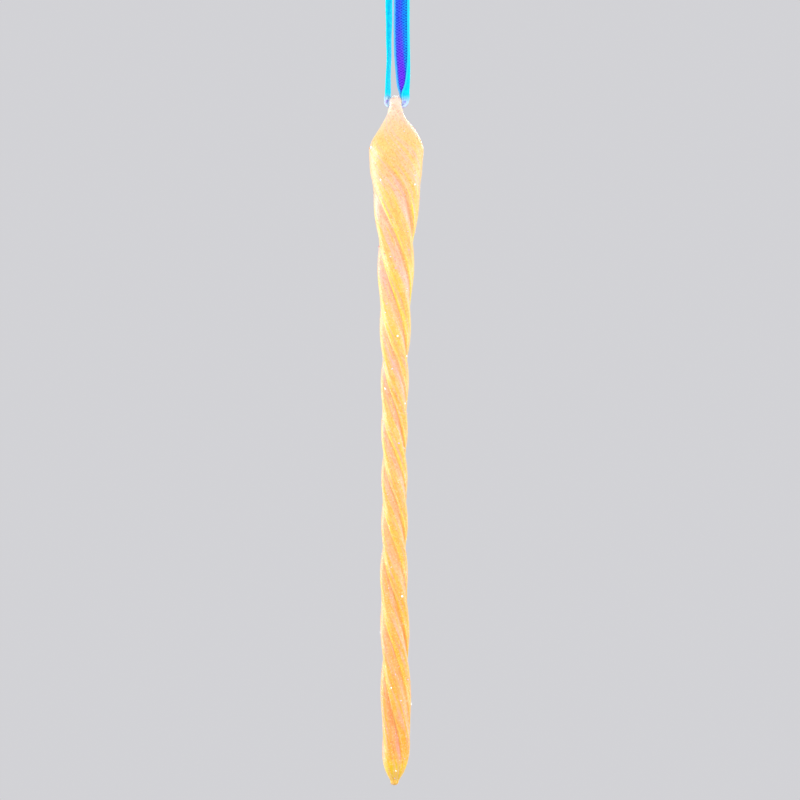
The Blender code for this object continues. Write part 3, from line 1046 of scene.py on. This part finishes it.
pale_grains = add_node(
    glitter_glass,
    "ShaderNodeMapRange",
    inputs={"Value": grain_number.outputs[1], "From Min": 0.82, "From Max": 0.97, "To Max": 0.4},
)
grained = add_node(
    glitter_glass,
    "ShaderNodeMix",
    {"data_type": "RGBA"},
    {0: pale_grains.outputs[0], 6: grained.outputs[2], 7: srgb("#FFF0C4")},
)
grain_bump = add_node(
    glitter_glass,
    "ShaderNodeBump",
    inputs={"Strength": 0.6, "Distance": GRAIN_DEPTH, "Height": grains.outputs["Distance"]},
)
glitter_glass.node_tree.links.new(grained.outputs[2], glass_shader.inputs["Base Color"])
glitter_glass.node_tree.links.new(grain_bump.outputs[0], glass_shader.inputs["Normal"])
icicle.data.materials.append(glitter_glass)

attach(icicle, "icicle")
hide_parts("glass_icicle")


# ---- Glass eye ----
# A small gather of glass dropped on the hot neck, pinched flat from left and right, and pierced while
# soft, so that the hole's rims are rounded. It is welded to the bar and carries the same glitter.

EYE_HALF_WIDTH, EYE_RADIUS, HOLE_RADIUS = 2.3 * MM, 3.0 * MM, 1.5 * MM
RIM_ROUND = 0.45 * MM
RIM_STEPS = 6
CUTTER_REACH, CUTTER_FLARE = 1 * MM, 0.5 * MM  # past each side of the eye
EYE_SIDES, HOLE_SIDES = 24, 40
EYE_FIRST_RING = 0.05 * MM
EYE_RINGS, EYE_CROWDING = 13, 1.6  # the rings are closer together at the top
SOFT_ANGLE = math.radians(50)


def eye_half_widths(depth):
    """The eye's half widths left to right and front to back, at a depth below its top."""
    dome = math.sqrt(max(1 - max(1 - depth / EYE_HALF_WIDTH, 0.0) ** 2, 0.0))
    ring = math.sqrt(max(1 - max(1 - depth / EYE_RADIUS, 0.0) ** 2, 0.0))
    to_neck = smooth_step((depth - EYE_RADIUS) / (NECK_DEPTH - EYE_RADIUS))
    sunk = smooth_step((depth - WELD_START) / (WELD_END - WELD_START))
    round_part = crest_radius(depth) * (1 - WELD_SINK * sunk)
    return (
        EYE_HALF_WIDTH * dome * (1 - to_neck) + round_part * to_neck,
        EYE_RADIUS * ring * (1 - to_neck) + round_part * to_neck,
    )


deselect_all()
eye_depths = [
    EYE_FIRST_RING + (WELD_END - EYE_FIRST_RING) * (i / EYE_RINGS) ** EYE_CROWDING
    for i in range(EYE_RINGS + 1)
]
wide, deep = eye_half_widths(eye_depths[0])
ring_middle = (0, 0, eye_top - eye_depths[0])
bpy.ops.mesh.primitive_circle_add(vertices=EYE_SIDES, radius=1.0, location=ring_middle)
eye = bpy.context.object
eye.name = "glass_eye_pierced"
bpy.ops.object.transform_apply(location=True, rotation=True, scale=True)
bpy.ops.object.mode_set(mode="EDIT")
bpy.ops.mesh.select_all(action="SELECT")
bpy.ops.transform.resize(value=(wide, deep, 1), center_override=ring_middle)
for before, depth in zip(eye_depths, eye_depths[1:]):
    last_wide, last_deep = eye_half_widths(before)
    wide, deep = eye_half_widths(depth)
    bpy.ops.mesh.extrude_region_move(TRANSFORM_OT_translate={"value": (0, 0, before - depth)})
    bpy.ops.transform.resize(
        value=(wide / last_wide, deep / last_deep, 1), center_override=(0, 0, eye_top - depth)
    )
close_ring()
bm = bmesh.from_edit_mesh(eye.data)
select_only(bm, [vert for vert in bm.verts if vert.is_boundary])
close_ring()
bpy.ops.mesh.select_all(action="SELECT")
bpy.ops.mesh.normals_make_consistent(inside=False)
bpy.ops.object.mode_set(mode="OBJECT")
apply_modifier(eye, "SUBSURF", levels=2, render_levels=2)

# The piercing tool: straight through the middle, and flared where it leaves each side.
deselect_all()
bpy.ops.mesh.primitive_circle_add(vertices=HOLE_SIDES, radius=HOLE_RADIUS, location=(0, 0, 0))
piercer = bpy.context.object
bpy.ops.object.mode_set(mode="EDIT")
bpy.ops.mesh.select_all(action="SELECT")
bpy.ops.transform.rotate(value=math.pi / 2, orient_axis="Y", center_override=(0, 0, 0))
bpy.ops.transform.translate(value=eye_centre)
straight = EYE_HALF_WIDTH - RIM_ROUND
for side in (1, -1):
    bm = bmesh.from_edit_mesh(piercer.data)
    select_only(bm, [vert for vert in bm.verts if abs(vert.co.x - eye_centre.x) < 1e-6])
    reach, radius = 0.0, HOLE_RADIUS
    for i in range(RIM_STEPS + 1):
        angle = math.pi / 2 * i / RIM_STEPS
        next_reach = straight + RIM_ROUND * math.sin(angle)
        next_radius = HOLE_RADIUS + RIM_ROUND * (1 - math.cos(angle))
        if i == RIM_STEPS:
            next_reach, next_radius = EYE_HALF_WIDTH + CUTTER_REACH, radius + CUTTER_FLARE
        outward = (side * (next_reach - reach), 0, 0)
        bpy.ops.mesh.extrude_region_move(TRANSFORM_OT_translate={"value": outward})
        grow = next_radius / radius
        bpy.ops.transform.resize(value=(1, grow, grow), center_override=eye_centre)
        reach, radius = next_reach, next_radius
    bpy.ops.mesh.edge_face_add()
bpy.ops.mesh.select_all(action="SELECT")
bpy.ops.mesh.normals_make_consistent(inside=False)
bpy.ops.object.mode_set(mode="OBJECT")
apply_modifier(eye, "BOOLEAN", operation="DIFFERENCE", solver="EXACT", object=piercer)
bpy.data.objects.remove(piercer, do_unlink=True)
deselect_all()
bpy.context.view_layer.objects.active = eye
eye.select_set(True)
bpy.ops.object.shade_smooth_by_angle(angle=SOFT_ANGLE)
mark_flutes(eye)
eye.data.materials.append(glitter_glass)

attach(eye, "icicle")
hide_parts("glass_eye")


# ---- Glitter flakes ----
# Loose hexagonal flakes cut from metallised film, scattered over the wet coat and stuck at every angle.
# Most are gold, some pearl pink. A few stand proud of the outline.

FLAKE_COUNT = 3000
PEARL_SHARE = 0.055
GOLD_SIZES, PEARL_SIZES = (0.09, 0.19), (0.24, 0.42)  # from middle to corner, in mm
GOLD_TONES, PEARL_TONES = (0.0, 0.75), (0.8, 1.0)
FLAKE_HEIGHTS = (-0.02, 0.05)  # from the coat's surface, in mm
FLAKE_LEAN = 0.5
FLAKE_THICKNESS = 0.03 * MM
random.seed(11)


def scatter_flakes(name, source, count):
    """Hexagonal flakes on the faces of source, each turned at random and half sunk in the coat."""
    faces = [face for face in source.data.polygons if face.area > 0]
    picked = random.choices(faces, weights=[face.area for face in faces], k=count)
    bm = bmesh.new()
    tone = bm.verts.layers.float.new("tone")
    for face in picked:
        pearl = random.random() < PEARL_SHARE
        size = random.uniform(*(PEARL_SIZES if pearl else GOLD_SIZES)) * MM
        lean = Vector([random.gauss(0, FLAKE_LEAN) for _ in range(3)])
        up = (face.normal + lean).normalized()
        base = face.center + face.normal * random.uniform(*FLAKE_HEIGHTS) * MM
        side = up.orthogonal().normalized()
        other = up.cross(side)
        shade = random.uniform(*(PEARL_TONES if pearl else GOLD_TONES))
        spin = random.uniform(0, math.pi / 3)
        rims = []
        for lift in (FLAKE_THICKNESS / 2, -FLAKE_THICKNESS / 2):
            ring = []
            for k in range(6):
                angle = spin + k * math.pi / 3
                corner = side * math.cos(angle) + other * math.sin(angle)
                vert = bm.verts.new(base + corner * size + up * lift)
                vert[tone] = shade
                ring.append(vert)
            rims.append(ring)
        bm.faces.new(rims[0])
        bm.faces.new(rims[1][::-1])
        for k in range(6):
            bm.faces.new((rims[0][k], rims[1][k], rims[1][(k + 1) % 6], rims[0][(k + 1) % 6]))
    mesh = bpy.data.meshes.new(name)
    bm.to_mesh(mesh)
    bm.free()
    obj = bpy.data.objects.new(name, mesh)
    bpy.context.scene.collection.objects.link(obj)
    return obj


# Metallised polyester film: a mirror-like sheet, so each flake is either dull or a bright spark.
flake_film, flake_shader = new_material(
    "metallised_glitter_film", {"Metallic": 0.4, "Roughness": 0.28, "Coat Weight": 0.3}
)
flake_tone = add_node(flake_film, "ShaderNodeAttribute", {"attribute_name": "tone"})
flake_colour = add_node(
    flake_film,
    "ShaderNodeValToRGB",
    {
        "stops": (
            (0.0, "#FFBE4A"),
            (0.45, "#FFD86A"),
            (0.7, "#FFC8A8"),
            (0.84, "#FFD0F4"),
            (0.92, "#FFFFFF"),
        )
    },
    {0: flake_tone.outputs["Fac"]},
)
flake_film.node_tree.links.new(flake_colour.outputs[0], flake_shader.inputs["Base Color"])
flakes = scatter_flakes("glitter_flakes", icicle, FLAKE_COUNT)
flakes.data.materials.append(flake_film)
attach(flakes, "icicle")


# ---- Studio ----
# A pale round floor under the ornament, a pale plain background, and large soft lights on both sides
# that draw a light line down each edge of the glass.

FLOOR_DROP = 0.03
FLOOR_RADIUS, FLOOR_THICKNESS, FLOOR_SIDES = 0.23, 0.01, 96
FLOOR_EDGE = 0.002
deselect_all()
bpy.ops.mesh.primitive_cylinder_add(
    vertices=FLOOR_SIDES,
    radius=FLOOR_RADIUS,
    depth=FLOOR_THICKNESS,
    location=(0, 0, glass_bottom - FLOOR_DROP - FLOOR_THICKNESS / 2),
)
floor = bpy.context.object
floor.name = "floor"
bpy.ops.object.transform_apply(location=True, rotation=True, scale=True)
apply_modifier(floor, "BEVEL", width=FLOOR_EDGE, segments=3)
floor_paint, _ = new_material("matt_pale_board", {"Base Color": srgb("#B9B7B6"), "Roughness": 0.85})
floor.data.materials.append(floor_paint)

world = bpy.data.worlds.new("studio")
world.use_nodes = True
background = world.node_tree.nodes["Background"]
background.inputs["Color"].default_value = srgb("#E2E2E6")
background.inputs["Strength"].default_value = 0.85
bpy.context.scene.world = world
# Plain display colours, with no film curve over them.
bpy.context.scene.view_settings.view_transform = "Standard"

# Place, size and power of each light. Each one looks at the middle of the glass.
LIGHT_AIM = Vector((0, 0, -0.18))
LIGHTS = (
    ("front_left", (-0.7, -1.1, 0.35), 0.8, 8.0),
    ("front_right", (0.9, -0.9, 0.05), 0.7, 5.2),
    ("left_edge", (-0.9, 0.35, -0.15), 0.6, 7.0),
    ("right_edge", (0.9, 0.35, -0.15), 0.6, 4.2),
    ("back_fill", (0.2, 1.2, 0.4), 0.9, 10.0),
)
for name, place, size, power in LIGHTS:
    facing = (LIGHT_AIM - Vector(place)).to_track_quat("-Z", "Y").to_euler()
    bpy.ops.object.light_add(type="AREA", location=place, rotation=facing)
    light = bpy.context.object
    light.name = name
    light.data.shape = "DISK"
    light.data.size = size
    light.data.energy = power
